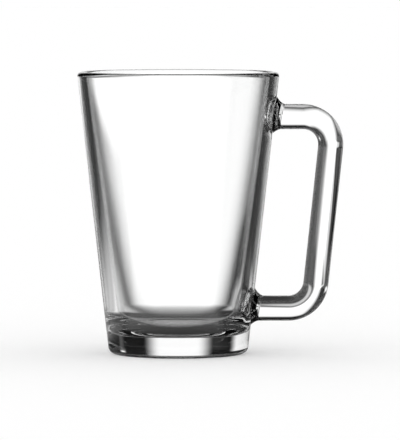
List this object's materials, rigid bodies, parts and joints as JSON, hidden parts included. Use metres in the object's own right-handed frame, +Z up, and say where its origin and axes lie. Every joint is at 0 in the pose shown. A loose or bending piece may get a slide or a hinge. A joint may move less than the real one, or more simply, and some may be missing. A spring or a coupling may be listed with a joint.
{
  "type": "coffee mug",
  "caption": "Tapered clear glass coffee mug with a rounded rim, a heavy flat base and a bent glass rod as its handle.",
  "frame": {"origin": "on the cup's axis, on the plane of the ring that the mug stands on", "axes": "+Z up along the cup's axis, +X from the axis towards the handle, +Y across the handle"},
  "size_m": [0.1114, 0.0846, 0.118],
  "materials": {
    "glass": "clear, colourless, fire polished"
  },
  "bodies": {
    "root": {"cup": "glass", "handle": "glass"}
  },
  "joints": []
}
